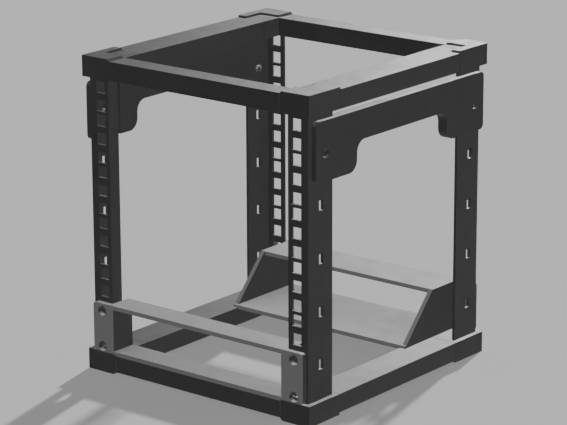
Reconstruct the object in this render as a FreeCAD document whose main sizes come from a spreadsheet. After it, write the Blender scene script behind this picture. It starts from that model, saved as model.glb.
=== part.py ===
import FreeCAD, Part
import math
import os
import Sketcher

# Desktop rack: four slotted L-section posts stand in the corner blocks of a bottom and a top frame,
# two bridge-shaped braces tie the posts together at the sides, and two one-unit brackets stand on
# the bottom frame, one before the front posts and one behind the rear posts.
# X runs along the front, Y from front to rear, Z up; the origin is under the middle of the rack.

document = FreeCAD.newDocument("mini_rack")
sheet = document.addObject("Spreadsheet::Sheet", "Sizes")

SIZES = (
    ("frame_width", 240.0, "outside width of both frames"),
    ("frame_depth", 244.0, "outside depth of both frames"),
    ("rail_height", 16.0, "height of rails and corner blocks"),
    ("foot_height", 2.0, "how far the corner pads stand out"),
    ("foot_side_leg", 8.5, "width of the pad along the side"),
    ("foot_front_leg", 18.6, "width of the pad along the front"),
    ("block_width", 30.0, "corner block and side rail, across"),
    ("block_depth", 40.0, "corner block, front to rear"),
    ("front_rail_width", 20.0, "front and rear rail, front to rear"),
    ("face_setback", 0.8, "rail face behind the corner blocks' faces"),
    ("seam_gap", 0.5, "seam between a side rail and a corner block"),
    ("tongue_inset", 11.7, "tongue from the side of the frame"),
    ("tongue_width", 14.0, "tongue across"),
    ("tongue_length", 13.0, "tongue into the corner block"),
    ("tongue_thickness", 8.0, "tongue height"),
    ("tongue_clearance", 0.5, "gap round the tongue in its recess"),
    ("seat_depth", 1.3, "seat of a bracket below the corner blocks"),
    ("seat_clearance", 0.2, "play of a bracket's foot between the blocks"),
    ("rack_units", 6.0, "height of the posts in rack units"),
    ("unit_height", 44.45, "one rack unit"),
    ("first_hole", 6.35, "lowest hole of a unit above its lower edge"),
    ("hole_pitch", 15.875, "holes of one unit"),
    ("hole_width", 9.5, "square hole across"),
    ("hole_height", 10.0, "square hole up"),
    ("hole_edge", 11.75, "hole centre from the post's side face"),
    ("post_side_inset", 4.5, "post's side face inside the frame's side"),
    ("post_face_inset", 4.4, "post's front face inside the frame's front"),
    ("post_front_flange", 20.2, "front flange across"),
    ("post_side_flange", 31.4, "side flange front to rear"),
    ("post_wall", 2.4, "wall of the post"),
    ("socket_floor", 2.0, "frame left under the end of a post"),
    ("socket_clearance", 0.15, "play of the post in its socket"),
    ("slot_width", 5.2, "side slot, front to rear"),
    ("slot_height", 8.6, "side slot, up"),
    ("slot_shift", 0.45, "slot centre from the brace screw"),
    ("slot_drop", 0.6, "slot centre below the unit boundary"),
    ("brace_height", 50.0, "brace over all"),
    ("brace_beam", 25.0, "height of the brace between its legs"),
    ("brace_leg", 53.5, "length of a brace leg"),
    ("brace_inner", 4.4, "thickness of the brace between the posts"),
    ("brace_short", 4.4, "brace end short of the post's face"),
    ("brace_corner", 4.5, "outer corner radius of the brace"),
    ("brace_arch", 10.0, "corner radius of the brace's legs"),
    ("brace_clearance", 0.2, "play of the brace between the posts"),
    ("screw_inset", 12.7, "screw from the end of the brace"),
    ("screw_drop", 2.0, "screw below the middle of the brace"),
    ("bore_length", 8.4, "counterbore, front to rear"),
    ("bore_height", 6.5, "counterbore, up"),
    ("bore_floor", 1.0, "brace left under the screw head"),
    ("shank_hole", 3.4, "hole for the shank"),
    ("head_diameter", 5.5, "screw head"),
    ("head_height", 3.0, "screw head, along the screw"),
    ("shank_diameter", 3.0, "screw shank"),
    ("screw_length", 6.0, "shank under the head"),
    ("key_width", 2.5, "hexagon socket across the flats"),
    ("key_depth", 1.5, "depth of the hexagon socket"),
    ("nut_width", 5.5, "nut across the flats"),
    ("nut_height", 2.4, "nut, along the screw"),
    ("plate_thickness", 3.7, "top and bottom plates of the brackets"),
    ("side_thickness", 4.0, "side walls of the brackets"),
    ("sleeve_clearance", 0.2, "play of a bracket between the posts"),
    ("ear_margin", 2.0, "ear inside the post's side face"),
    ("ear_corner", 3.0, "corner radius of the ears"),
    ("ear_hole", 9.0, "hole in the ears"),
    ("front_sleeve_depth", 24.0, "front bracket, front to rear"),
    ("rear_bottom_depth", 80.0, "rear bracket's bottom plate"),
    ("rear_top_depth", 40.0, "rear bracket's top plate"),
)

for row, (alias, value, note) in enumerate(SIZES, 1):
    sheet.set("A%d" % row, note)
    sheet.set("B%d" % row, repr(value))
    sheet.setAlias("B%d" % row, alias)
document.recompute()

# Places that several pieces share, as formulas of the named sizes.
HALF_WIDTH = "Sizes.frame_width / 2"
HALF_DEPTH = "Sizes.frame_depth / 2"
BLOCK_INNER = "(Sizes.frame_width / 2 - Sizes.block_width)"
FRAME_HEIGHT = "(Sizes.foot_height + Sizes.rail_height)"
POST_FOOT = "(Sizes.foot_height + Sizes.socket_floor)"
POST_LENGTH = "(Sizes.rack_units * Sizes.unit_height)"
TOTAL_HEIGHT = "(" + POST_LENGTH + " + 2 * " + POST_FOOT + ")"
POST_SIDE = "(Sizes.frame_width / 2 - Sizes.post_side_inset)"
POST_FACE = "(Sizes.frame_depth / 2 - Sizes.post_face_inset)"
BRACE_LENGTH = "(2 * " + POST_FACE + " - Sizes.brace_short)"
SCREW_LEVEL = "(" + POST_FOOT + " + (Sizes.rack_units - 1) * Sizes.unit_height - Sizes.screw_drop)"
SLEEVE_HALF = "(" + POST_SIDE + " - Sizes.post_front_flange - Sizes.sleeve_clearance)"
OPENING_HALF = "(" + SLEEVE_HALF + " - Sizes.side_thickness)"
BRACKET_TOP = "(Sizes.unit_height - Sizes.seat_depth)"


def number(alias):
    return float(sheet.get(alias))


def origin_plane(body, role):
    for feature in body.Origin.OriginFeatures:
        if feature.Role == role:
            return feature
    raise RuntimeError("no plane " + role)


def new_body(name):
    body = document.addObject("PartDesign::Body", name)
    body.Label = name
    return body


def place(item, base, axis=(0, 0, 1), angle=0.0):
    turn = FreeCAD.Rotation(FreeCAD.Vector(*axis), angle)
    item.Placement = FreeCAD.Placement(FreeCAD.Vector(0, 0, 0), turn)
    for letter, formula in zip("xyz", base):
        if formula != "0":
            item.setExpression("Placement.Base." + letter, formula)


def new_sketch(body, name, role, offset=None):
    sketch = body.newObject("Sketcher::SketchObject", name)
    sketch.AttachmentSupport = [(origin_plane(body, role), "")]
    sketch.MapMode = "FlatFace"
    if offset is not None:
        sketch.setExpression("AttachmentOffset.Base.z", offset)
    return sketch


def pin(sketch, item, point, across, up, start):
    sides = (("DistanceX", across, -2, start.x), ("DistanceY", up, -1, start.y))
    for kind, formula, axis, first in sides:
        if formula == "0":
            sketch.addConstraint(Sketcher.Constraint("PointOnObject", item, point, axis))
        else:
            index = sketch.addConstraint(Sketcher.Constraint(kind, -1, 1, item, point, first))
            sketch.setExpression("Constraints[%d]" % index, formula)


def add_outline(sketch, corners):
    start = sketch.GeometryCount
    count = len(corners)
    points = []
    for index in range(count):
        angle = 2.0 * math.pi * index / count + 0.3
        points.append(FreeCAD.Vector(90.0 * math.cos(angle), 90.0 * math.sin(angle), 0))
    for index in range(count):
        line = Part.LineSegment(points[index], points[(index + 1) % count])
        sketch.addGeometry(line, False)
    for index in range(count):
        following = start + (index + 1) % count
        sketch.addConstraint(Sketcher.Constraint("Coincident", start + index, 2, following, 1))
    for index, (across, up) in enumerate(corners):
        pin(sketch, start + index, 1, across, up, points[index])


def add_box(sketch, left, right, low, high):
    add_outline(sketch, ((left, low), (right, low), (right, high), (left, high)))


def add_circle(sketch, across, up, diameter):
    middle = FreeCAD.Vector(10, 10, 0)
    item = sketch.addGeometry(Part.Circle(middle, FreeCAD.Vector(0, 0, 1), 3.0), False)
    index = sketch.addConstraint(Sketcher.Constraint("Diameter", item, 6.0))
    sketch.setExpression("Constraints[%d]" % index, diameter)
    pin(sketch, item, 3, across, up, middle)


def add_long_hole(sketch, across, up, length, height):
    # Two half circles joined by two lines.
    normal = FreeCAD.Vector(0, 0, 1)
    left = FreeCAD.Vector(20, 20, 0)
    right = FreeCAD.Vector(22, 20, 0)
    first = Part.ArcOfCircle(Part.Circle(left, normal, 3.0), math.pi / 2, 3 * math.pi / 2)
    second = Part.ArcOfCircle(Part.Circle(right, normal, 3.0), -math.pi / 2, math.pi / 2)
    one = sketch.addGeometry(first, False)
    two = sketch.addGeometry(second, False)
    low = sketch.addGeometry(Part.LineSegment(FreeCAD.Vector(20, 17, 0), FreeCAD.Vector(22, 17, 0)), False)
    top = sketch.addGeometry(Part.LineSegment(FreeCAD.Vector(22, 23, 0), FreeCAD.Vector(20, 23, 0)), False)
    sketch.addConstraint(Sketcher.Constraint("Tangent", one, 2, low, 1))
    sketch.addConstraint(Sketcher.Constraint("Tangent", low, 2, two, 1))
    sketch.addConstraint(Sketcher.Constraint("Tangent", two, 2, top, 1))
    sketch.addConstraint(Sketcher.Constraint("Tangent", top, 2, one, 1))
    sketch.addConstraint(Sketcher.Constraint("Equal", one, two))
    index = sketch.addConstraint(Sketcher.Constraint("Radius", one, 3.0))
    sketch.setExpression("Constraints[%d]" % index, height + " / 2")
    reach = " (" + length + " - " + height + ") / 2"
    pin(sketch, one, 3, across + " -" + reach, up, left)
    pin(sketch, two, 3, across + " +" + reach, up, right)


def pad(body, sketch, length, reverse=False):
    feature = body.newObject("PartDesign::Pad", sketch.Name + "_pad")
    feature.Profile = sketch
    feature.setExpression("Length", length)
    feature.Reversed = reverse
    document.recompute()
    return feature


def pocket(body, sketch, length, reverse=False):
    before = body.Shape.Volume
    feature = body.newObject("PartDesign::Pocket", sketch.Name + "_pocket")
    feature.Profile = sketch
    feature.setExpression("Length", length)
    feature.Reversed = reverse
    document.recompute()
    if feature.Shape.Volume > before - 1e-3:
        raise RuntimeError(body.Name + ": " + sketch.Name + " cuts nothing")
    return feature


def mirror(body, features, role):
    feature = body.newObject("PartDesign::Mirrored", features[0].Name + "_mirror")
    feature.Originals = features
    feature.MirrorPlane = (origin_plane(body, role), [""])
    body.Tip = feature
    document.recompute()
    return feature


def repeat_up(body, feature, sketch, step, count):
    pattern = body.newObject("PartDesign::LinearPattern", feature.Name + "_pattern")
    pattern.Originals = [feature]
    pattern.Direction = (sketch, ["V_Axis"])
    pattern.setExpression("Length", step + " * (" + count + " - 1)")
    pattern.setExpression("Occurrences", count)
    body.Tip = pattern
    document.recompute()
    return pattern


def round_edges(body, name, names, radius):
    if not names:
        raise RuntimeError(name + ": no edge to round")
    solid = body.Tip
    feature = body.newObject("PartDesign::Fillet", name)
    feature.Base = (solid, names)
    feature.setExpression("Radius", radius)
    document.recompute()
    return feature


def edges_along(shape, direction, spots):
    # Straight edges along one direction that pass through one of the given spots;
    # a spot holds the two other coordinates in X, Y, Z order.
    names = []
    for index, edge in enumerate(shape.Edges, 1):
        if len(edge.Vertexes) != 2:
            continue
        first = edge.Vertexes[0].Point
        last = edge.Vertexes[1].Point
        span = (last.x - first.x, last.y - first.y, last.z - first.z)
        if abs(abs(span[direction]) - edge.Length) > 1e-6:
            continue
        place_of_edge = [first.x, first.y, first.z]
        del place_of_edge[direction]
        for spot in spots:
            if abs(place_of_edge[0] - spot[0]) < 1e-4 and abs(place_of_edge[1] - spot[1]) < 1e-4:
                names.append("Edge%d" % index)
                break
    return names


# Frame beams. In its own frame a beam lies with its pads down: y = 0 is its outer face, z = 0 the
# underside of the pads, and the posts enter from above.
def build_beam(name, seated):
    body = new_body(name)
    plan = new_sketch(body, name + "_plan", "XY_Plane", "Sizes.foot_height")
    inner_face = "(" + BLOCK_INNER + " - Sizes.face_setback)"
    right = (
        (inner_face, "Sizes.face_setback"),
        (BLOCK_INNER, "0"),
        (HALF_WIDTH, "0"),
        (HALF_WIDTH, "Sizes.block_depth"),
        (BLOCK_INNER, "Sizes.block_depth"),
        (BLOCK_INNER, "Sizes.front_rail_width"),
    )
    left = tuple(("-1 * " + across, up) for across, up in reversed(right))
    add_outline(plan, right + left)
    pad(body, plan, "Sizes.rail_height")

    leg = new_sketch(body, name + "_pad_leg", "XZ_Plane")
    add_outline(leg, (
        (BLOCK_INNER, "Sizes.foot_height"),
        (BLOCK_INNER + " + Sizes.foot_height", "0"),
        (HALF_WIDTH, "0"),
        (HALF_WIDTH, "Sizes.foot_height"),
    ))
    front_leg = pad(body, leg, "Sizes.foot_front_leg", True)
    strip = new_sketch(body, name + "_pad_strip", "XY_Plane")
    add_box(strip, HALF_WIDTH + " - Sizes.foot_side_leg", HALF_WIDTH, "0", "Sizes.block_depth")
    side_leg = pad(body, strip, "Sizes.foot_height")
    mirror(body, [front_leg, side_leg], "YZ_Plane")

    socket = new_sketch(body, name + "_socket", "XY_Plane", FRAME_HEIGHT)
    outer_side = POST_SIDE + " + Sizes.socket_clearance"
    inner_side = POST_SIDE + " - Sizes.post_wall - Sizes.socket_clearance"
    flange_end = POST_SIDE + " - Sizes.post_front_flange - Sizes.socket_clearance"
    face = "Sizes.post_face_inset - Sizes.socket_clearance"
    back = "Sizes.post_face_inset + Sizes.post_wall + Sizes.socket_clearance"
    far = "Sizes.post_face_inset + Sizes.post_side_flange + Sizes.socket_clearance"
    add_outline(socket, (
        (flange_end, face),
        (outer_side, face),
        (outer_side, far),
        (inner_side, far),
        (inner_side, back),
        (flange_end, back),
    ))
    post_socket = pocket(body, socket, "Sizes.rail_height - Sizes.socket_floor")
    recess = new_sketch(body, name + "_recess", "XY_Plane", "Sizes.foot_height")
    add_box(
        recess,
        HALF_WIDTH + " - Sizes.tongue_inset - Sizes.tongue_width - Sizes.tongue_clearance",
        HALF_WIDTH + " - Sizes.tongue_inset + Sizes.tongue_clearance",
        "Sizes.block_depth - Sizes.tongue_length - Sizes.tongue_clearance",
        "Sizes.block_depth",
    )
    tongue_recess = pocket(body, recess, "Sizes.tongue_thickness", True)
    mirror(body, [post_socket, tongue_recess], "YZ_Plane")

    if seated:
        seat = new_sketch(body, name + "_seat", "XY_Plane", FRAME_HEIGHT)
        add_box(seat, "-1 * " + BLOCK_INNER, BLOCK_INNER, "0", "Sizes.front_rail_width")
        pocket(body, seat, "Sizes.seat_depth")
    return body


bottom_front_beam = build_beam("bottom_front_beam", True)
place(bottom_front_beam, ("0", "-1 * " + HALF_DEPTH, "0"))
bottom_rear_beam = build_beam("bottom_rear_beam", True)
place(bottom_rear_beam, ("0", HALF_DEPTH, "0"), (0, 0, 1), 180.0)
top_front_beam = build_beam("top_front_beam", False)
place(top_front_beam, ("0", "-1 * " + HALF_DEPTH, TOTAL_HEIGHT), (0, 1, 0), 180.0)
top_rear_beam = build_beam("top_rear_beam", False)
place(top_rear_beam, ("0", HALF_DEPTH, TOTAL_HEIGHT), (1, 0, 0), 180.0)


# Side rails. In its own frame a rail has its outer side at x = 0 and its tongues low, at pad level.
# The tongues bear on the roofs of their recesses, with a fine gap all round and between bar and block.
def build_side_rail(name):
    body = new_body(name)
    half_length = "(" + HALF_DEPTH + " - Sizes.block_depth)"
    bar_end = "(" + half_length + " - Sizes.seam_gap)"
    bar = new_sketch(body, name + "_bar", "XY_Plane", "Sizes.foot_height")
    add_box(bar, "-1 * Sizes.block_width", "0", "-1 * " + bar_end, bar_end)
    pad(body, bar, "Sizes.rail_height")
    tongue = new_sketch(body, name + "_tongue", "XY_Plane", "Sizes.foot_height")
    add_box(
        tongue,
        "-1 * (Sizes.tongue_inset + Sizes.tongue_width)",
        "-1 * Sizes.tongue_inset",
        bar_end,
        half_length + " + Sizes.tongue_length",
    )
    end = pad(body, tongue, "Sizes.tongue_thickness")
    mirror(body, [end], "XZ_Plane")
    return body


bottom_right_rail = build_side_rail("bottom_right_rail")
place(bottom_right_rail, (HALF_WIDTH, "0", "0"))
bottom_left_rail = build_side_rail("bottom_left_rail")
place(bottom_left_rail, ("-1 * " + HALF_WIDTH, "0", "0"), (0, 0, 1), 180.0)
top_right_rail = build_side_rail("top_right_rail")
place(top_right_rail, (HALF_WIDTH, "0", TOTAL_HEIGHT), (1, 0, 0), 180.0)
top_left_rail = build_side_rail("top_left_rail")
place(top_left_rail, ("-1 * " + HALF_WIDTH, "0", TOTAL_HEIGHT), (0, 1, 0), 180.0)


# Posts. In its own frame a post stands with the outer corner of its L at the origin, the front
# flange along X towards the middle of the rack and the side flange along +Y.
# A right-hand post has its flange towards -X, a left-hand one towards +X. The brace is short of the
# post's face at one end only, so the two hands have their side slots at different depths.
def build_post(name, hand, slot_place):
    body = new_body(name)
    inward = "%d * " % -hand
    section = new_sketch(body, name + "_section", "XY_Plane")
    corners = (
        ("0", "0"),
        (inward + "Sizes.post_front_flange", "0"),
        (inward + "Sizes.post_front_flange", "Sizes.post_wall"),
        (inward + "Sizes.post_wall", "Sizes.post_wall"),
        (inward + "Sizes.post_wall", "Sizes.post_side_flange"),
        ("0", "Sizes.post_side_flange"),
    )
    add_outline(section, corners)
    pad(body, section, POST_LENGTH)

    holes = new_sketch(body, name + "_holes", "XZ_Plane")
    middle = "(" + inward + "Sizes.hole_edge)"
    for index in range(3):
        level = "(Sizes.first_hole + %d * Sizes.hole_pitch)" % index
        add_box(
            holes,
            middle + " - Sizes.hole_width / 2",
            middle + " + Sizes.hole_width / 2",
            level + " - Sizes.hole_height / 2",
            level + " + Sizes.hole_height / 2",
        )
    one_unit = pocket(body, holes, "Sizes.post_wall")
    repeat_up(body, one_unit, holes, "Sizes.unit_height", "Sizes.rack_units")

    slot = new_sketch(body, name + "_slot", "YZ_Plane")
    add_box(
        slot,
        slot_place + " - Sizes.slot_width / 2",
        slot_place + " + Sizes.slot_width / 2",
        "Sizes.unit_height - Sizes.slot_drop - Sizes.slot_height / 2",
        "Sizes.unit_height - Sizes.slot_drop + Sizes.slot_height / 2",
    )
    first_slot = pocket(body, slot, "Sizes.post_wall", hand < 0)
    repeat_up(body, first_slot, slot, "Sizes.unit_height", "(Sizes.rack_units - 1)")
    return body


NEAR_SLOT = "(Sizes.screw_inset + Sizes.slot_shift)"
FAR_SLOT = "(Sizes.brace_short + Sizes.screw_inset - Sizes.slot_shift)"

front_right_post = build_post("front_right_post", 1, FAR_SLOT)
place(front_right_post, (POST_SIDE, "-1 * " + POST_FACE, POST_FOOT))
rear_left_post = build_post("rear_left_post", 1, FAR_SLOT)
place(rear_left_post, ("-1 * " + POST_SIDE, POST_FACE, POST_FOOT), (0, 0, 1), 180.0)
front_left_post = build_post("front_left_post", -1, NEAR_SLOT)
place(front_left_post, ("-1 * " + POST_SIDE, "-1 * " + POST_FACE, POST_FOOT))
rear_right_post = build_post("rear_right_post", -1, NEAR_SLOT)
place(rear_right_post, (POST_SIDE, POST_FACE, POST_FOOT), (0, 0, 1), 180.0)


# Braces. In its own frame a brace has the posts' side faces at x = 0, its outer plate outwards from
# there and a thicker middle inwards that fits between the side flanges; y = 0 is its short end.
def build_brace(name):
    body = new_body(name)
    low = "0"
    arch = "(Sizes.brace_height - Sizes.brace_beam)"
    second_leg = "(" + BRACE_LENGTH + " - Sizes.brace_leg)"
    plate = new_sketch(body, name + "_plate", "YZ_Plane")
    add_outline(plate, (
        ("0", low),
        ("Sizes.brace_leg", low),
        ("Sizes.brace_leg", arch),
        (second_leg, arch),
        (second_leg, low),
        (BRACE_LENGTH, low),
        (BRACE_LENGTH, "Sizes.brace_height"),
        ("0", "Sizes.brace_height"),
    ))
    pad(body, plate, "Sizes.post_side_inset")
    middle = new_sketch(body, name + "_middle", "YZ_Plane")
    start = "(Sizes.post_side_flange - Sizes.brace_short + Sizes.brace_clearance)"
    stop = "(" + BRACE_LENGTH + " - Sizes.post_side_flange - Sizes.brace_clearance)"
    add_outline(middle, (
        (start, low),
        ("Sizes.brace_leg", low),
        ("Sizes.brace_leg", arch),
        (second_leg, arch),
        (second_leg, low),
        (stop, low),
        (stop, "Sizes.brace_height"),
        (start, "Sizes.brace_height"),
    ))
    pad(body, middle, "Sizes.brace_inner", True)

    length = number("frame_depth") - 2 * number("post_face_inset") - number("brace_short")
    height = number("brace_height")
    leg = number("brace_leg")
    under = height - number("brace_beam")
    ends = ((0.0, 0.0), (0.0, height), (length, 0.0), (length, height))
    names = edges_along(body.Shape, 0, ends)
    round_edges(body, name + "_ends", names, "Sizes.brace_corner")
    arch_corners = ((leg, 0.0), (leg, under), (length - leg, under), (length - leg, 0.0))
    names = edges_along(body.Shape, 0, arch_corners)
    # Two roundings share the edge of each leg, so each takes less than half of it.
    share_of_leg = "0.49 * " + arch
    round_edges(body, name + "_arch", names, "min(Sizes.brace_arch; " + share_of_leg + ")")

    level = "(Sizes.brace_height / 2 - Sizes.screw_drop)"
    places = ("Sizes.screw_inset", "(" + BRACE_LENGTH + " - Sizes.screw_inset)")
    bores = new_sketch(body, name + "_bores", "YZ_Plane", "Sizes.post_side_inset")
    for across in places:
        add_long_hole(bores, across, level, "Sizes.bore_length", "Sizes.bore_height")
    pocket(body, bores, "Sizes.post_side_inset - Sizes.bore_floor")
    shanks = new_sketch(body, name + "_shanks", "YZ_Plane", "Sizes.bore_floor")
    for across in places:
        add_circle(shanks, across, level, "Sizes.shank_hole")
    pocket(body, shanks, "Sizes.bore_floor")
    return body


BRACE_FOOT = "(" + POST_FOOT + " + (Sizes.rack_units - 1) * Sizes.unit_height - Sizes.brace_height / 2)"
BRACE_START = "(" + POST_FACE + " - Sizes.brace_short)"

right_brace = build_brace("right_brace")
place(right_brace, (POST_SIDE, "-1 * " + BRACE_START, BRACE_FOOT))
left_brace = build_brace("left_brace")
place(left_brace, ("-1 * " + POST_SIDE, BRACE_START, BRACE_FOOT), (0, 0, 1), 180.0)


# Brackets. In its own frame a bracket has its ears' outer faces at y = 0 and z = 0 on top of the
# corner blocks; its foot drops between them onto the rail. The side walls slope where the bottom
# plate is deeper than the top plate.
def build_bracket(name, bottom_depth, top_depth):
    body = new_body(name)
    plate_top = "(Sizes.plate_thickness - Sizes.seat_depth)"
    plate_under = "(" + BRACKET_TOP + " - Sizes.plate_thickness)"
    ear_half = "(" + POST_SIDE + " - Sizes.ear_margin)"

    floor = new_sketch(body, name + "_floor", "XZ_Plane")
    add_box(floor, "-1 * " + SLEEVE_HALF, SLEEVE_HALF, "0", plate_top)
    pad(body, floor, bottom_depth, True)
    foot = new_sketch(body, name + "_foot", "XZ_Plane")
    foot_half = "(" + BLOCK_INNER + " - Sizes.seat_clearance)"
    add_box(foot, "-1 * " + foot_half, foot_half, "-1 * Sizes.seat_depth", "0")
    pad(body, foot, bottom_depth, True)
    roof = new_sketch(body, name + "_roof", "XZ_Plane")
    add_box(roof, "-1 * " + SLEEVE_HALF, SLEEVE_HALF, plate_under, BRACKET_TOP)
    pad(body, roof, top_depth, True)

    wall = new_sketch(body, name + "_wall", "YZ_Plane", OPENING_HALF)
    add_outline(wall, (
        ("0", "0"),
        (bottom_depth, "0"),
        (top_depth, BRACKET_TOP),
        ("0", BRACKET_TOP),
    ))
    side_wall = pad(body, wall, "Sizes.side_thickness")
    ear = new_sketch(body, name + "_ear", "XZ_Plane")
    add_box(ear, OPENING_HALF, ear_half, "0", BRACKET_TOP)
    side_ear = pad(body, ear, "Sizes.post_face_inset", True)
    mirror(body, [side_wall, side_ear], "YZ_Plane")

    half = number("frame_width") / 2 - number("post_side_inset") - number("ear_margin")
    top = number("unit_height") - number("seat_depth")
    corners = ((-half, 0.0), (half, 0.0), (-half, top), (half, top))
    names = edges_along(body.Shape, 1, corners)
    round_edges(body, name + "_corners", names, "Sizes.ear_corner")

    holes = new_sketch(body, name + "_ear_holes", "XZ_Plane")
    across = "(" + POST_SIDE + " - Sizes.hole_edge)"
    upper = "(" + POST_FOOT + " + Sizes.unit_height + Sizes.first_hole - " + FRAME_HEIGHT + ")"
    lower = "(" + upper + " - 2 * Sizes.hole_pitch)"
    for level in (upper, lower):
        add_circle(holes, across, level, "Sizes.ear_hole")
        add_circle(holes, "-1 * " + across, level, "Sizes.ear_hole")
    pocket(body, holes, "Sizes.post_face_inset")
    return body


front_mount = build_bracket("front_mount", "Sizes.front_sleeve_depth", "Sizes.front_sleeve_depth")
place(front_mount, ("0", "-1 * " + HALF_DEPTH, FRAME_HEIGHT))
rear_mount = build_bracket("rear_mount", "Sizes.rear_bottom_depth", "Sizes.rear_top_depth")
place(rear_mount, ("0", HALF_DEPTH, FRAME_HEIGHT), (0, 0, 1), 180.0)


# Brace screws: cylinder heads with a hexagon socket, lying across the rack in the braces' bores.
def build_screw(name, side, across):
    outward = "%d * " % side
    seat = outward + "(" + POST_SIDE + " + Sizes.bore_floor)"
    turn = (0, 1, 0)
    head = document.addObject("Part::Cylinder", name + "_head")
    head.setExpression("Radius", "Sizes.head_diameter / 2")
    head.setExpression("Height", "Sizes.head_height")
    place(head, (seat, across, SCREW_LEVEL), turn, 90.0 * side)
    shank = document.addObject("Part::Cylinder", name + "_shank")
    shank.setExpression("Radius", "Sizes.shank_diameter / 2")
    shank.setExpression("Height", "Sizes.screw_length")
    place(shank, (seat, across, SCREW_LEVEL), turn, -90.0 * side)
    blank = document.addObject("Part::Fuse", name + "_blank")
    blank.Base = head
    blank.Tool = shank
    key = document.addObject("Part::Prism", name + "_key")
    key.Polygon = 6
    key.setExpression("Circumradius", "Sizes.key_width / sqrt(3)")
    key.setExpression("Height", "Sizes.key_depth")
    start = seat + " + " + outward + "(Sizes.head_height - Sizes.key_depth)"
    place(key, (start, across, SCREW_LEVEL), turn, 90.0 * side)
    screw = document.addObject("Part::Cut", name)
    screw.Base = blank
    screw.Tool = key
    return screw


SHORT_END = "(" + BRACE_START + " - Sizes.screw_inset)"
FLUSH_END = "(" + POST_FACE + " - Sizes.screw_inset)"
screws = (
    build_screw("right_front_screw", 1, "-1 * " + SHORT_END),
    build_screw("right_rear_screw", 1, FLUSH_END),
    build_screw("left_front_screw", -1, "-1 * " + FLUSH_END),
    build_screw("left_rear_screw", -1, SHORT_END),
)
brace_screws = document.addObject("Part::Compound", "brace_screws")
brace_screws.Label = "brace_screws"
brace_screws.Links = list(screws)


# Nuts on the inner face of the posts' side flanges, two corners towards front and rear so that they
# bear on both sides of the slot.
def build_nut(name, side, across):
    seat = "%d * (" % side + POST_SIDE + " - Sizes.post_wall)"
    hexagon = document.addObject("Part::Prism", name + "_hexagon")
    hexagon.Polygon = 6
    hexagon.setExpression("Circumradius", "Sizes.nut_width / sqrt(3)")
    hexagon.setExpression("Height", "Sizes.nut_height")
    bore = document.addObject("Part::Cylinder", name + "_bore")
    bore.setExpression("Radius", "Sizes.shank_diameter / 2")
    bore.setExpression("Height", "Sizes.nut_height")
    for item in (hexagon, bore):
        inward = FreeCAD.Rotation(FreeCAD.Vector(0, 1, 0), -90.0 * side)
        quarter = FreeCAD.Rotation(FreeCAD.Vector(0, 0, 1), 90.0)
        item.Placement = FreeCAD.Placement(FreeCAD.Vector(0, 0, 0), inward * quarter)
        for letter, formula in zip("xyz", (seat, across, SCREW_LEVEL)):
            item.setExpression("Placement.Base." + letter, formula)
    nut = document.addObject("Part::Cut", name)
    nut.Base = hexagon
    nut.Tool = bore
    return nut


nuts = (
    build_nut("right_front_nut", 1, "-1 * " + SHORT_END),
    build_nut("right_rear_nut", 1, FLUSH_END),
    build_nut("left_front_nut", -1, "-1 * " + FLUSH_END),
    build_nut("left_rear_nut", -1, SHORT_END),
)
brace_nuts = document.addObject("Part::Compound", "brace_nuts")
brace_nuts.Label = "brace_nuts"
brace_nuts.Links = list(nuts)
document.recompute()

pieces = (
    bottom_front_beam,
    bottom_rear_beam,
    bottom_left_rail,
    bottom_right_rail,
    top_front_beam,
    top_rear_beam,
    top_left_rail,
    top_right_rail,
    front_left_post,
    front_right_post,
    rear_left_post,
    rear_right_post,
    left_brace,
    right_brace,
    front_mount,
    rear_mount,
    brace_screws,
    brace_nuts,
)

for item in document.Objects:
    if "Invalid" in item.State or "Error" in item.State:
        raise RuntimeError(item.Name + " failed: " + str(item.State))
for piece in pieces:
    if piece.Shape.isNull() or not piece.Shape.isValid():
        raise RuntimeError(piece.Label + " has no valid shape")

os.makedirs("parts", exist_ok=True)
for piece in pieces:
    piece.Shape.exportStep("parts/" + piece.Label + ".step")
    print(piece.Label, len(piece.Shape.Solids), round(piece.Shape.Volume, 1))
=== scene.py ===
import math

import bmesh
import bpy
import numpy as np
from bpy.props import FloatProperty, FloatVectorProperty, IntProperty, PointerProperty
from mathutils import Matrix, Vector


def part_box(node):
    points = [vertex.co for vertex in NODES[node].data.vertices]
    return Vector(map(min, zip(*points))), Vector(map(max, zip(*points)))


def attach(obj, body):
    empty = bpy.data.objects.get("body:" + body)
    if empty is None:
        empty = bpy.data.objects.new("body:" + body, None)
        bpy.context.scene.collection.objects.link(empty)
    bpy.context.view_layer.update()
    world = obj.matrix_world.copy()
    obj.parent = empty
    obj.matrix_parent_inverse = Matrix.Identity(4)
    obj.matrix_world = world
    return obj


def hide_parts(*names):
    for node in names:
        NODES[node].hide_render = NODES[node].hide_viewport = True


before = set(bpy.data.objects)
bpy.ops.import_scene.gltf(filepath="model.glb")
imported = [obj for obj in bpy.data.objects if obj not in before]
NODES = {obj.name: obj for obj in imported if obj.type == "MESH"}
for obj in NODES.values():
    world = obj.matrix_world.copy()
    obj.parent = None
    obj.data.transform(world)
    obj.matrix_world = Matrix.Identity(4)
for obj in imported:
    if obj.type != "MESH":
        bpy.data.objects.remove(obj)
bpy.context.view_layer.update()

bl_info = {
    "name": "Desktop rack dresser",
    "version": (1, 0, 0),
    "blender": (4, 5, 0),
    "location": "View3D > Sidebar > Rack",
    "description": "Printed-plastic finishes, screws, nuts and a studio for a small equipment rack",
    "category": "Object",
}

FRAME_BEAMS = ("bottom_front_beam", "bottom_rear_beam", "top_front_beam", "top_rear_beam")
SIDE_RAILS = ("bottom_left_rail", "bottom_right_rail", "top_left_rail", "top_right_rail")
POSTS = ("front_left_post", "front_right_post", "rear_left_post", "rear_right_post")
BRACES = ("left_brace", "right_brace")
BRACKETS = ("front_mount", "rear_mount")

TURN = 2.0 * math.pi

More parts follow.
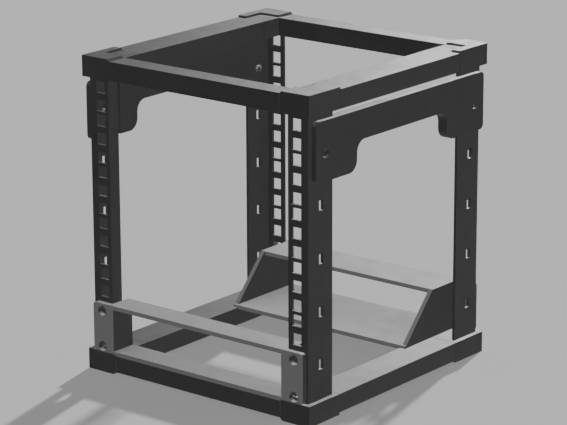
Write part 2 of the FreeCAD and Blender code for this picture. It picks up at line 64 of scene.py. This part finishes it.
# Noise of the plastic, in cells to a metre.
GRAIN = 2600.0
COARSE_GRAIN = 420.0
SPECKLE = 900.0
WEAR_BREAKS = 160.0
GLOSS_SMEAR = 55.0
BROAD_TONE = 26.0
LAYER_WOBBLE = 18.0

# Noise of the steel, in cells to a metre.
TURNING_MARKS = 9000.0
STEEL_GLOSS = 1500.0
STEEL_TONE = 700.0

STROKE_WIDTH = 0.00042      # one stroke of the print nozzle
FACES_ALONG = 0.7           # a normal's least share along an axis for a face to lie across it

# Points round a screw or nut, and rows of points to one turn of its thread.
ROUND_STEPS = 96
THREAD_STEPS = 6
THREAD_RUN_IN = 1.2         # turns over which the thread grows to its full depth
SOCKET_TURN = 0.35          # radians from one screw's socket to the next screw's

# An edge that bends by more than this stays sharp.
SCREW_SHARP = math.radians(32.0)
NUT_SHARP = math.radians(25.0)

# Small shapes of the screws and nuts, in metres.
SOCKET_CHAMFER = 0.00022
SOCKET_CONE = 0.0002
HEAD_ROUNDING = 0.0003
KNURL_DEPTH = 0.00006
THREAD_DEPTH = 0.00028
TIP_CHAMFER = 0.0002
NUT_FACE = 0.475            # radius of a nut's flat face as a share of its width
NUT_THREAD_DEPTH = 0.0001
NUT_BORE_CHAMFER = 0.00025
NUT_CONE = math.radians(30.0)
MERGE_DISTANCE = 1e-7

# Studio, in metres. The panel's place and aim are those of the one behind the rack.
FLOOR_HALF = 12.0
PANEL_SIZE = (1.95, 2.9)
PANEL_PLACE = Vector((-1.275, 3.05, 1.6))
PANEL_AIM = Vector((-1.175, 0.0, 0.27))
BOUNCE_SIZE = (6.0, 6.0)
BOUNCE_PLACE = Vector((0.0, 0.0, -0.4))
FILL_SPREAD = math.radians(30.0)
FLOOR_FILL_SPREAD = 0.1     # radians
FRONT_FILL_FROM = Vector((-0.3, -0.8, 0.55))
BACK_FILL_FROM = Vector((-0.15, 0.75, 0.65))
SENSOR_WIDTH = 36.0         # millimetres


# Sizes and colours a user would change.

class RackPlasticSettings(bpy.types.PropertyGroup):
    """Finish of the printed plastic"""
    frame_color: FloatVectorProperty(
        name="Frame plastic", description="Colour of the frames, posts and braces",
        subtype="COLOR", size=3, min=0.0, max=1.0, default=(0.0035, 0.0035, 0.0036))
    bracket_color: FloatVectorProperty(
        name="Bracket plastic", description="Colour of the two mounting brackets",
        subtype="COLOR", size=3, min=0.0, max=1.0, default=(0.028, 0.028, 0.0282))
    roughness: FloatProperty(
        name="Frame roughness", description="Middle roughness of the dark printed surfaces",
        min=0.05, max=1.0, default=0.42)
    bracket_roughness: FloatProperty(
        name="Bracket roughness", description="Middle roughness of the brackets' printed surfaces",
        min=0.05, max=1.0, default=0.58)
    layer_height: FloatProperty(
        name="Layer height", description="Height of one printed layer",
        unit="LENGTH", min=0.00005, max=0.001, default=0.0002)
    layer_relief: FloatProperty(
        name="Layer relief", description="Depth of the grooves between two layers",
        unit="LENGTH", min=0.0, max=0.0002, default=0.000012)
    grain_relief: FloatProperty(
        name="Grain relief", description="Depth of the fine grain of the plastic",
        unit="LENGTH", min=0.0, max=0.0002, default=0.00001)
    edge_radius: FloatProperty(
        name="Edge radius", description="Radius over which edges look worn lighter",
        unit="LENGTH", min=0.0, max=0.002, default=0.0004)
    # Reach of the painted shade on the brackets' up-facing faces near their walls.
    painted_shade_reach: FloatProperty(
        name="Shade reach",
        description="Distance over which a bracket's walls shade its faces that look up",
        unit="LENGTH", min=0.0, max=0.2, default=0.06)


class RackScrewSettings(bpy.types.PropertyGroup):
    """Sizes and steel of the braces' screws and nuts"""
    head_diameter: FloatProperty(
        name="Head diameter", description="Diameter of the knurled screw head",
        unit="LENGTH", default=0.0055)
    head_height: FloatProperty(
        name="Head height", description="Height of the screw head",
        unit="LENGTH", default=0.003)
    knurl_count: IntProperty(
        name="Knurls", description="Ridges round the screw head", min=12, max=60, default=32)
    key_width: FloatProperty(
        name="Socket width", description="Hexagon socket across its flats",
        unit="LENGTH", default=0.0025)
    key_depth: FloatProperty(
        name="Socket depth", description="Depth of the hexagon socket",
        unit="LENGTH", default=0.0015)
    shank_diameter: FloatProperty(
        name="Thread diameter", description="Outer diameter of the thread",
        unit="LENGTH", default=0.003)
    thread_pitch: FloatProperty(
        name="Thread pitch", description="Distance from one thread crest to the next",
        unit="LENGTH", default=0.0005)
    shank_length: FloatProperty(
        name="Shank length", description="Shank under the head",
        unit="LENGTH", default=0.006)
    nut_width: FloatProperty(
        name="Nut width", description="Nut across its flats", unit="LENGTH", default=0.0055)
    nut_height: FloatProperty(
        name="Nut height", description="Thickness of the nut", unit="LENGTH", default=0.0024)
    end_inset: FloatProperty(
        name="Screw inset", description="Screw axis from the end of a brace",
        unit="LENGTH", default=0.0127)
    level_drop: FloatProperty(
        name="Screw drop", description="Screw axis below the middle of a brace",
        unit="LENGTH", default=0.002)
    bore_floor: FloatProperty(
        name="Bore floor", description="Plastic left between screw head and post",
        unit="LENGTH", default=0.001)
    steel_color: FloatVectorProperty(
        name="Screw steel", description="Colour of the blackened screws",
        subtype="COLOR", size=3, min=0.0, max=1.0, default=(0.05, 0.05, 0.051))
    nut_color: FloatVectorProperty(
        name="Nut steel", description="Colour of the nuts",
        subtype="COLOR", size=3, min=0.0, max=1.0, default=(0.16, 0.16, 0.165))


class RackStudioSettings(bpy.types.PropertyGroup):
    """Floor, lights and camera"""
    floor_color: FloatVectorProperty(
        name="Floor", description="Colour of the plain floor",
        subtype="COLOR", size=3, min=0.0, max=1.0, default=(0.50, 0.50, 0.50))
    sky_strength: FloatProperty(
        name="Room light", description="Strength of the even light of the room",
        min=0.0, max=5.0, default=0.10)
    key_strength: FloatProperty(
        name="Key light", description="Strength of the light that casts the rack's shadow",
        min=0.0, max=20.0, default=6.5)
    key_azimuth: FloatProperty(
        name="Key azimuth", description="Direction of the key light, from +Y towards -X",
        subtype="ANGLE", default=math.radians(14.0))
    key_elevation: FloatProperty(
        name="Key elevation", description="Height of the key light above the floor",
        subtype="ANGLE", default=math.radians(17.8))
    key_spread: FloatProperty(
        name="Key spread", description="Apparent width of the key light",
        subtype="ANGLE", default=math.radians(2.5))
    floor_fill: FloatProperty(
        name="Floor fill", description="Strength of the light that softens the shadow on the floor",
        min=0.0, max=20.0, default=1.5)
    front_fill: FloatProperty(
        name="Front fill", description="Strength of the soft light from the front on the brackets",
        min=0.0, max=20.0, default=5.8)
    back_fill: FloatProperty(
        name="Back fill", description="Strength of the soft light from behind on the brackets",
        min=0.0, max=20.0, default=5.0)
    bounce_power: FloatProperty(
        name="Bounce power",
        description="Power of the light that the floor throws back on the dark plastic",
        unit="POWER", min=0.0, default=52.0)
    bracket_bounce: FloatProperty(
        name="Bracket bounce",
        description="Power of the light that the floor throws back on the brackets",
        unit="POWER", min=0.0, default=88.0)
    panel_power: FloatProperty(
        name="Panel power", description="Power of a soft panel that the top faces mirror",
        unit="POWER", min=0.0, default=143.0)
    panel_shares: FloatVectorProperty(
        name="Panel shares",
        description="Share of that power for the panels behind, left, in front and right",
        size=4, min=0.0, max=1.0, default=(1.0, 0.5, 0.6, 1.0))
    camera_azimuth: FloatProperty(
        name="Camera azimuth", description="Direction of the camera, from -Y towards +X",
        subtype="ANGLE", default=0.67562442)
    camera_elevation: FloatProperty(
        name="Camera elevation", description="Height of the camera's line of sight",
        subtype="ANGLE", default=0.27883535)
    camera_roll: FloatProperty(
        name="Camera roll", description="Turn of the camera about its line of sight",
        subtype="ANGLE", default=-0.00346444)
    camera_distance: FloatProperty(
        name="Camera distance", description="Distance from the camera to its target",
        unit="LENGTH", default=2.2841232)
    camera_target: FloatVectorProperty(
        name="Camera target", description="Point that the camera looks at",
        subtype="TRANSLATION", unit="LENGTH", size=3,
        default=(-0.00114847, -0.00308512, 0.13253406))
    lens: FloatProperty(
        name="Lens", description="Focal length for a sensor 36 mm wide, in millimetres",
        min=10.0, max=500.0, default=170.278)


# Materials.

class Graph:
    """Adds shader nodes to one material and joins them."""

    def __init__(self, name):
        self.material = bpy.data.materials.new(name)
        self.material.use_nodes = True
        self.tree = self.material.node_tree
        self.tree.nodes.clear()
        output = self.tree.nodes.new("ShaderNodeOutputMaterial")
        self.shader = self.tree.nodes.new("ShaderNodeBsdfPrincipled")
        self.tree.links.new(self.shader.outputs["BSDF"], output.inputs["Surface"])
        self.coordinates = self.tree.nodes.new("ShaderNodeTexCoord").outputs["Object"]

    def feed(self, socket, value):
        """Links a socket's value to an input, or sets the input to a plain value."""
        if isinstance(value, bpy.types.NodeSocket):
            self.tree.links.new(value, socket)
        else:
            socket.default_value = value

    def finish(self, **values):
        """Feeds the shader; a name's underscores stand for spaces."""
        for name, value in values.items():
            self.feed(self.shader.inputs[name.replace("_", " ")], value)

    def add(self, kind, inputs, **settings):
        node = self.tree.nodes.new(kind)
        for name, value in settings.items():
            setattr(node, name, value)
        for key, value in inputs.items():
            self.feed(node.inputs[key], value)
        return node.outputs

    def math(self, operation, first, second=0.0):
        return self.add("ShaderNodeMath", {0: first, 1: second}, operation=operation)[0]

    def noise(self, scale, detail=2.0, roughness=0.5):
        return self.add("ShaderNodeTexNoise", {
            "Vector": self.coordinates, "Scale": scale, "Detail": detail,
            "Roughness": roughness})["Fac"]

    def span(self, value, low, high, to_low, to_high):
        """Carries the range from low to high over to the range from to_low to to_high."""
        return self.add("ShaderNodeMapRange", {
            "Value": value, "From Min": low, "From Max": high,
            "To Min": to_low, "To Max": to_high})["Result"]

    def mix_color(self, factor, first, second):
        return self.add("ShaderNodeMix", {0: factor, 6: first, 7: second}, data_type="RGBA")[2]

    def bump(self, height, strength, distance, normal=None):
        inputs = {"Strength": strength, "Distance": distance, "Height": height}
        if normal is not None:
            inputs["Normal"] = normal
        return self.add("ShaderNodeBump", inputs)["Normal"]


def rgba(color, factor=1.0):
    return tuple(min(1.0, value * factor) for value in color) + (1.0,)


def printed_plastic(name, color, roughness, settings, axis, with_painted_shade=False):
    """Matt printed plastic: layer grooves are a sine across the layers along one axis, seen on
    faces that stand across them; faces that lie along the layers show the diagonal strokes of the
    nozzle. Fine noise adds the grain, broad noise the slight unevenness of colour and gloss, and
    the difference between the true and a rounded normal finds the edges, which are worn lighter.
    Faces that look up can be given painted shade under and beside walls of the same piece: a darker
    colour and a weaker reflection."""
    graph = Graph(name)
    geometry = graph.add("ShaderNodeNewGeometry", {})
    place = graph.add("ShaderNodeSeparateXYZ", {0: graph.coordinates})
    normal = graph.add("ShaderNodeSeparateXYZ", {0: geometry["Normal"]})

    build_axis = "XYZ"[axis]
    first, second = (place[letter] for letter in "XYZ" if letter != build_axis)
    wobble = graph.math("MULTIPLY", graph.noise(LAYER_WOBBLE, 1.0), settings.layer_height * 1.5)
    layer_place = graph.math("ADD", place[build_axis], wobble)
    layers = graph.math("SINE", graph.math("MULTIPLY", layer_place, TURN / settings.layer_height))
    diagonal = graph.math("ADD", first, second)
    strokes = graph.math(
        "SINE", graph.math("MULTIPLY", diagonal, TURN / (STROKE_WIDTH * math.sqrt(2.0))))
    lies_flat = graph.math(
        "GREATER_THAN", graph.math("ABSOLUTE", normal[build_axis]), FACES_ALONG)
    pattern = graph.add(
        "ShaderNodeMix", {0: lies_flat, 2: layers, 3: strokes}, data_type="FLOAT")[0]
    coarse = graph.noise(COARSE_GRAIN, 2.0, 0.55)
    fine = graph.noise(GRAIN, 3.0, 0.6)
    relief = graph.bump(pattern, 0.5, settings.layer_relief)
    relief = graph.bump(coarse, 0.6, settings.grain_relief * 2.0, relief)
    relief = graph.bump(fine, 0.7, settings.grain_relief, relief)

    broad = graph.span(graph.noise(BROAD_TONE, 3.0, 0.55), 0.3, 0.7, 0.0, 1.0)
    speckle = graph.span(graph.noise(SPECKLE, 2.0), 0.35, 0.65, 0.0, 1.0)
    base = graph.mix_color(broad, rgba(color, 0.94), rgba(color, 1.05))
    base = graph.mix_color(graph.math("MULTIPLY", speckle, 0.35), base, rgba(color, 1.16))
    rounded = graph.add("ShaderNodeBevel", {"Radius": settings.edge_radius}, samples=4)["Normal"]
    likeness = graph.add(
        "ShaderNodeVectorMath", {0: rounded, 1: geometry["True Normal"]}, operation="DOT_PRODUCT")
    edge = graph.span(likeness["Value"], 0.985, 0.86, 0.0, 1.0)
    breaks = graph.span(graph.noise(WEAR_BREAKS, 3.0), 0.35, 0.7, 0.1, 0.55)
    worn = graph.math("MULTIPLY", edge, breaks)
    base = graph.mix_color(worn, base, rgba(color, 1.7))

    smear = graph.span(graph.noise(GLOSS_SMEAR, 4.0, 0.6), 0.3, 0.7, -0.045, 0.045)
    rough = graph.math("ADD", smear, roughness)
    rough = graph.math("SUBTRACT", rough, graph.math("MULTIPLY", worn, 0.08))
    # Painted shade: an occlusion node finds up-facing faces near walls of the same piece, and
    # darkens their colour and weakens their reflection.
    if with_painted_shade:
        nearby = graph.add(
            "ShaderNodeAmbientOcclusion", {"Distance": settings.painted_shade_reach},
            samples=8, only_local=True)
        looks_up = graph.math("GREATER_THAN", normal["Z"], FACES_ALONG)
        painted_shade = graph.math(
            "MULTIPLY", looks_up, graph.span(nearby["AO"], 0.3, 1.0, 0.75, 0.0))
        graph.finish(Specular_IOR_Level=graph.span(painted_shade, 0.0, 1.0, 0.5, 0.08))
        base = graph.mix_color(painted_shade, base, rgba(color, 0.35))
    graph.finish(Base_Color=base, Roughness=rough, Normal=relief)
    return graph.material


def plated_steel(name, color, roughness):
    """Steel: metal whose colour and gloss vary a little with noise, with fine turning marks."""
    graph = Graph(name)
    broad = graph.span(graph.noise(STEEL_TONE, 3.0), 0.3, 0.7, 0.0, 1.0)
    gloss = graph.noise(STEEL_GLOSS, 3.0)
    graph.finish(
        Metallic=1.0,
        Base_Color=graph.mix_color(broad, rgba(color, 0.85), rgba(color, 1.15)),
        Roughness=graph.span(gloss, 0.3, 0.7, roughness - 0.08, roughness + 0.08),
        Normal=graph.bump(graph.noise(TURNING_MARKS, 2.0), 0.3, 0.000006))
    return graph.material


def floor_finish(name, color):
    """Plain pale floor: even colour with the faintest mottle and a dull surface."""
    graph = Graph(name)
    mottle = graph.span(graph.noise(9.0, 3.0), 0.3, 0.7, 0.0, 1.0)
    graph.finish(
        Base_Color=graph.mix_color(mottle, rgba(color, 0.995), rgba(color, 1.005)),
        Roughness=1.0, Specular_IOR_Level=0.0)
    return graph.material


def dress(nodes, material):
    """Puts one material on the given pieces of the fixed frame."""
    for name in nodes:
        slots = NODES[name].data.materials
        slots.clear()
        slots.append(material)


# Surfaces of the screws and nuts.

def grid_faces(rows, columns):
    """Quads of a grid whose last column joins its first; row after row, the winding turns
    outwards."""
    row = np.arange(rows - 1)[:, None] * columns
    column = np.arange(columns)[None, :]
    following = (column + 1) % columns
    faces = np.stack(
        [row + column, row + following, row + columns + following, row + columns + column], -1)
    return faces.reshape(-1, 4)


def mesh_from_grids(name, grids, closed_rows):
    """One mesh from point grids of shape (rows, columns, 3). Where closed_rows is true the last row
    joins the first; otherwise both end rows have shrunk to a point and are merged there."""
    points = []
    faces = []
    start = 0
    for grid in grids:
        rows, columns = grid.shape[:2]
        points.append(grid.reshape(-1, 3))
        if closed_rows:
            band = grid_faces(rows + 1, columns) % (rows * columns)
        else:
            band = grid_faces(rows, columns)
        faces.append(band + start)
        start += rows * columns
    mesh = bpy.data.meshes.new(name)
    mesh.from_pydata(np.concatenate(points), [], np.concatenate(faces))
    mesh.validate()
    piece = bpy.data.objects.new(name, mesh)
    bpy.context.scene.collection.objects.link(piece)
    return piece


def finish_mesh(piece, smooth_angle):
    """Merges points that coincide, turns faces outwards and shades all but sharp edges smooth."""
    shape = bmesh.new()
    shape.from_mesh(piece.data)
    bmesh.ops.remove_doubles(shape, verts=shape.verts, dist=MERGE_DISTANCE)
    bmesh.ops.recalc_face_normals(shape, faces=shape.faces)
    for edge in shape.edges:
        sharp = len(edge.link_faces) != 2 or edge.calc_face_angle(0.0) > smooth_angle
        edge.smooth = not sharp
    for face in shape.faces:
        face.smooth = True
    shape.to_mesh(piece.data)
    shape.free()


def hexagon_radius(angle, width):
    """Distance from the middle of a hexagon to its side: half the width over the cosine of the
    angle from the nearest flat's middle."""
    third = math.pi / 3.0
    return 0.5 * width / np.cos((angle + third / 2.0) % third - third / 2.0)


def around_x(profile, angle, seat, side):
    """Points of a profile carried round an axis along X. Each row of the profile is a radius and a
    height, single numbers or arrays over the angle; height runs outwards from the seat."""
    table = np.array([[np.broadcast_to(value, angle.shape) for value in row] for row in profile])
    radius, height = table[:, 0], table[:, 1]
    x = seat[0] + side * height
    y = seat[1] + radius * np.cos(angle)
    z = seat[2] + radius * np.sin(angle)
    return np.stack((x, y, z), -1)


def screw_grid(sizes, seat, side, turn):
    """A profile carried round the axis. The radius depends on the angle where the row says so: the
    socket follows a hexagon, the head's side a cosine of the knurls, and the shank a sawtooth
    that climbs one pitch per turn."""
    angle = np.linspace(0.0, TURN, ROUND_STEPS, endpoint=False)
    head = sizes.head_diameter / 2.0
    top = sizes.head_height
    key = hexagon_radius(angle + turn, sizes.key_width)
    key_floor = top - sizes.key_depth
    profile = [
        (0.0, key_floor - 2.0 * SOCKET_CONE),
        (0.5 * key, key_floor - SOCKET_CONE),
        (key, key_floor),
        (key, top - SOCKET_CHAMFER),
        (key + 0.00012, top - 0.00006),
        (key + SOCKET_CHAMFER, top),
    ]
    for step in np.linspace(0.0, 0.5 * math.pi, 5):
        profile.append((head - HEAD_ROUNDING * (1.0 - math.sin(step)),
                        top - HEAD_ROUNDING * (1.0 - math.cos(step))))
    ridge = KNURL_DEPTH * (1.0 - np.cos(sizes.knurl_count * angle))
    knurl_top = top - 1.5 * HEAD_ROUNDING
    knurl_foot = 0.5 * HEAD_ROUNDING
    for share, depth in ((0.0, 0.0), (0.05, 1.0), (0.5, 1.0), (0.94, 1.0), (1.0, 0.0)):
        profile.append((head - depth * ridge, knurl_top + share * (knurl_foot - knurl_top)))
    profile.append((head - 2.0 * KNURL_DEPTH, 0.0))

    shank = sizes.shank_diameter / 2.0
    core = shank - THREAD_DEPTH
    length = sizes.shank_length
    turns = length / sizes.thread_pitch
    share = np.linspace(0.0, 1.0, int(turns * THREAD_STEPS) + 1)[1:-4, None]
    crest = np.abs(2.0 * ((share * turns - angle / TURN) % 1.0) - 1.0)
    run_in = np.minimum(1.0, share * turns / THREAD_RUN_IN)
    profile.append((core, 0.0))
    profile.extend(zip(shank - THREAD_DEPTH * (1.0 - run_in * crest), -share * length))
    profile.append((core, TIP_CHAMFER - length))
    profile.append((core - TIP_CHAMFER, -length))
    profile.append((0.0, -length))
    return around_x(profile, angle, seat, side)


def nut_grid(sizes, seat, side):
    """A closed band round the axis: both faces, a hexagon side whose corners are cut by a cone,
    and the bore, whose radius rises and falls once a pitch for its thread."""
    angle = np.linspace(0.0, TURN, ROUND_STEPS, endpoint=False)
    height = sizes.nut_height
    bore = sizes.shank_diameter / 2.0
    face = NUT_FACE * sizes.nut_width
    flats = hexagon_radius(angle + math.pi / 6.0, sizes.nut_width)
    drop = (flats - face) * math.tan(NUT_CONE)
    turns = height / sizes.thread_pitch
    share = np.linspace(0.94, 0.06, int(turns * THREAD_STEPS))[:, None]
    crest = np.abs(2.0 * ((share * turns - angle / TURN) % 1.0) - 1.0)
    profile = [
        (bore + NUT_BORE_CHAMFER, 0.0),
        (face, 0.0),
        (flats, -drop),
        (flats, drop - height),
        (face, -height),
        (bore + NUT_BORE_CHAMFER, -height),
    ]
    profile.extend(zip(bore + NUT_THREAD_DEPTH * crest, -share * height))
    return around_x(profile, angle, seat, side)


def screw_places(sizes):
    """Middle of each screw on the posts' outer sides, read from the boxes of braces and posts."""
    places = []
    for name, side in (("right_brace", 1.0), ("left_brace", -1.0)):
        low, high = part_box(name)
        post_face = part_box("front_right_post")[1].x * side
        level = 0.5 * (low.z + high.z) - sizes.level_drop
        for along in (low.y + sizes.end_inset, high.y - sizes.end_inset):
            places.append((side, Vector((post_face, along, level))))
    return places


# Studio.

def studio_floor(color):
    """A square floor that reflects nothing into the rack; the bounce lights stand for that."""
    corners = FLOOR_HALF * np.array([(-1, -1, 0), (1, -1, 0), (1, 1, 0), (-1, 1, 0)], float)
    mesh = bpy.data.meshes.new("studio_floor")
    mesh.from_pydata(corners, [], [(0, 1, 2, 3)])
    mesh.materials.append(floor_finish("floor_matt", color))
    floor = bpy.data.objects.new("studio_floor", mesh)
    bpy.context.scene.collection.objects.link(floor)
    floor.visible_glossy = False
    floor.visible_diffuse = False
    return floor


def studio_room(strength):
    """Even white light from all round."""
    world = bpy.data.worlds.new("studio_room")
    world.use_nodes = True
    background = world.node_tree.nodes["Background"]
    background.inputs["Color"].default_value = (1.0, 1.0, 1.0, 1.0)
    background.inputs["Strength"].default_value = strength
    bpy.context.scene.world = world


def receivers(name, pieces, spared=False):
    """A group of pieces that a light shines on, or where spared is true, all but those pieces."""
    group = bpy.data.collections.new(name)
    for piece in pieces:
        group.objects.link(piece)
    if spared:
        for entry in group.collection_objects:
            entry.light_linking.link_state = "EXCLUDE"
    return group


def add_lamp(light, group):
    """Puts a light in the scene and lets it shine on one group of pieces."""
    lamp = bpy.data.objects.new(light.name, light)
    bpy.context.scene.collection.objects.link(lamp)
    lamp.light_linking.receiver_collection = group
    return lamp


def distant_light(name, strength, spread, towards, group):
    """A far light that shines from one direction; its spread softens the edges of its shadows."""
    light = bpy.data.lights.new(name, "SUN")
    light.energy = strength
    light.angle = spread
    lamp = add_lamp(light, group)
    lamp.rotation_euler = towards.to_track_quat("Z", "Y").to_euler()
    return light


def soft_panel(name, power, size, place, aim, group):
    """A flat light at one place, turned towards its aim. It is unseen by the camera and throws no
    shadow, so that near walls don't hide it from the faces that mirror it."""
    light = bpy.data.lights.new(name, "AREA")
    light.shape = "RECTANGLE"
    light.size, light.size_y = size
    light.energy = power
    light.use_shadow = False
    light.cycles.use_multiple_importance_sampling = False
    lamp = add_lamp(light, group)
    lamp.location = place
    lamp.rotation_euler = (aim - place).to_track_quat("-Z", "Y").to_euler()
    lamp.visible_camera = False


def studio_lights(studio, floor):
    """The key light and a fill draw the shadow on the floor. The brackets have their own fills and
    bounce light. The top faces mirror four panels, a quarter turn apart, and look light where the
    camera is nearly opposite one of them."""
    brackets = [NODES[name] for name in BRACKETS]
    only_floor = receivers("only_floor", [floor])
    only_rack = receivers("only_rack", [floor], spared=True)
    only_brackets = receivers("only_brackets", brackets)
    no_brackets = receivers("no_brackets", [floor] + brackets, spared=True)

    flat = math.cos(studio.key_elevation)
    towards_key = Vector((
        -math.sin(studio.key_azimuth) * flat, math.cos(studio.key_azimuth) * flat,
        math.sin(studio.key_elevation)))
    distant_light("key_light", studio.key_strength, studio.key_spread, towards_key, only_floor)
    above = Vector((0.0, 0.0, 1.0))
    for name, strength, spread, towards, group in (
            ("floor_fill", studio.floor_fill, FLOOR_FILL_SPREAD, above, only_floor),
            ("front_fill", studio.front_fill, FILL_SPREAD, FRONT_FILL_FROM, only_brackets),
            ("back_fill", studio.back_fill, FILL_SPREAD, BACK_FILL_FROM, only_brackets)):
        distant_light(name, strength, spread, towards, group).use_shadow = False

    middle = Vector((0.0, 0.0, 0.0))
    for name, power, group in (
            ("floor_bounce", studio.bounce_power, no_brackets),
            ("bracket_bounce", studio.bracket_bounce, only_brackets)):
        soft_panel(name, power, BOUNCE_SIZE, BOUNCE_PLACE, middle, group)
    for quarter, share in enumerate(studio.panel_shares):
        spin = Matrix.Rotation(quarter * TURN / 4.0, 3, "Z")
        soft_panel(
            "soft_panel_%d" % quarter, studio.panel_power * share, PANEL_SIZE,
            spin @ PANEL_PLACE, spin @ PANEL_AIM, no_brackets if quarter else only_rack)


def studio_camera(studio):
    """A camera on a sphere round its target, looking at it, then rolled."""
    camera = bpy.data.cameras.new("camera")
    camera.sensor_width = SENSOR_WIDTH
    camera.sensor_fit = "HORIZONTAL"
    camera.lens = studio.lens
    camera.clip_start = 0.01
    camera.clip_end = 100.0
    stand = bpy.data.objects.new("camera", camera)
    bpy.context.scene.collection.objects.link(stand)
    level = math.cos(studio.camera_elevation)
    away = Vector((
        level * math.sin(studio.camera_azimuth), -level * math.cos(studio.camera_azimuth),
        math.sin(studio.camera_elevation)))
    stand.location = Vector(studio.camera_target) + studio.camera_distance * away
    stand.rotation_euler = away.to_track_quat("Z", "Y").to_euler()
    stand.rotation_euler.rotate_axis("Z", studio.camera_roll)
    bpy.context.scene.camera = stand


# Operators.

class RACK_OT_frames(bpy.types.Operator):
    """Gives the bottom and top frames their dark printed plastic, layered upwards"""
    bl_idname = "rack.frames"
    bl_label = "Finish the frames"

    def execute(self, context):
        settings = context.scene.rack_plastic
        material = printed_plastic(
            "frame_print", settings.frame_color, settings.roughness, settings, 2)
        dress(FRAME_BEAMS + SIDE_RAILS, material)
        return {"FINISHED"}


class RACK_OT_posts(bpy.types.Operator):
    """Gives the four slotted posts their dark printed plastic, layered upwards"""
    bl_idname = "rack.posts"
    bl_label = "Finish the posts"

    def execute(self, context):
        settings = context.scene.rack_plastic
        material = printed_plastic(
            "post_print", settings.frame_color, settings.roughness, settings, 2)
        dress(POSTS, material)
        return {"FINISHED"}


class RACK_OT_braces(bpy.types.Operator):
    """Gives the side braces their dark printed plastic, layered outwards"""
    bl_idname = "rack.braces"
    bl_label = "Finish the braces"

    def execute(self, context):
        settings = context.scene.rack_plastic
        material = printed_plastic(
            "brace_print", settings.frame_color, settings.roughness, settings, 0)
        dress(BRACES, material)
        return {"FINISHED"}


class RACK_OT_brackets(bpy.types.Operator):
    """Gives the mounting brackets their lighter printed plastic, layered from front to rear"""
    bl_idname = "rack.brackets"
    bl_label = "Finish the brackets"

    def execute(self, context):
        settings = context.scene.rack_plastic
        # The brackets get painted shade on their up-facing faces near their walls.
        material = printed_plastic(
            "bracket_print", settings.bracket_color, settings.bracket_roughness, settings, 1,
            with_painted_shade=True)
        dress(BRACKETS, material)
        return {"FINISHED"}


class RACK_OT_screws(bpy.types.Operator):
    """Builds the knurled socket screws of the braces"""
    bl_idname = "rack.screws"
    bl_label = "Build the screws"

    def execute(self, context):
        sizes = context.scene.rack_screws
        grids = []
        for index, (side, place) in enumerate(screw_places(sizes)):
            seat = (place.x + side * sizes.bore_floor, place.y, place.z)
            grids.append(screw_grid(sizes, seat, side, SOCKET_TURN * index))
        piece = mesh_from_grids("socket_screws", grids, False)
        finish_mesh(piece, SCREW_SHARP)
        piece.data.materials.append(plated_steel("screw_steel", sizes.steel_color, 0.38))
        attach(piece, "root")
        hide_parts("brace_screws")
        return {"FINISHED"}


class RACK_OT_nuts(bpy.types.Operator):
    """Builds the chamfered nuts on the inner side of the posts"""
    bl_idname = "rack.nuts"
    bl_label = "Build the nuts"

    def execute(self, context):
        sizes = context.scene.rack_screws
        low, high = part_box("brace_nuts")
        grids = []
        for side, place in screw_places(sizes):
            seat = (high.x if side > 0 else low.x, place.y, place.z)
            grids.append(nut_grid(sizes, seat, side))
        piece = mesh_from_grids("brace_nut_set", grids, True)
        finish_mesh(piece, NUT_SHARP)
        piece.data.materials.append(plated_steel("nut_steel", sizes.nut_color, 0.3))
        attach(piece, "root")
        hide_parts("brace_nuts")
        return {"FINISHED"}


class RACK_OT_studio(bpy.types.Operator):
    """Builds the floor, the soft lights and the camera"""
    bl_idname = "rack.studio"
    bl_label = "Build the studio"

    def execute(self, context):
        studio = context.scene.rack_studio
        floor = studio_floor(studio.floor_color)
        studio_room(studio.sky_strength)
        studio_lights(studio, floor)
        studio_camera(studio)
        return {"FINISHED"}


class RACK_PT_panel(bpy.types.Panel):
    """Lists the steps that dress the rack"""
    bl_label = "Desktop rack"
    bl_space_type = "VIEW_3D"
    bl_region_type = "UI"
    bl_category = "Rack"

    def draw(self, context):
        layout = self.layout
        scene = context.scene
        for step in STEPS:
            layout.operator(step.bl_idname)
        for group in (scene.rack_plastic, scene.rack_screws, scene.rack_studio):
            column = layout.column()
            for name in group.__annotations__:
                column.prop(group, name)


GROUPS = (RackPlasticSettings, RackScrewSettings, RackStudioSettings)
STEPS = (RACK_OT_studio, RACK_OT_frames, RACK_OT_posts, RACK_OT_braces, RACK_OT_brackets,
         RACK_OT_screws, RACK_OT_nuts)


def register():
    for item in GROUPS + STEPS + (RACK_PT_panel,):
        bpy.utils.register_class(item)
    bpy.types.Scene.rack_plastic = PointerProperty(type=RackPlasticSettings)
    bpy.types.Scene.rack_screws = PointerProperty(type=RackScrewSettings)
    bpy.types.Scene.rack_studio = PointerProperty(type=RackStudioSettings)


def unregister():
    del bpy.types.Scene.rack_studio
    del bpy.types.Scene.rack_screws
    del bpy.types.Scene.rack_plastic
    for item in reversed(GROUPS + STEPS + (RACK_PT_panel,)):
        bpy.utils.unregister_class(item)


def main():
    register()
    bpy.ops.rack.studio()
    bpy.ops.rack.frames()
    bpy.ops.rack.posts()
    bpy.ops.rack.braces()
    bpy.ops.rack.brackets()
    bpy.ops.rack.screws()
    bpy.ops.rack.nuts()


if __name__ == "__main__":
    main()
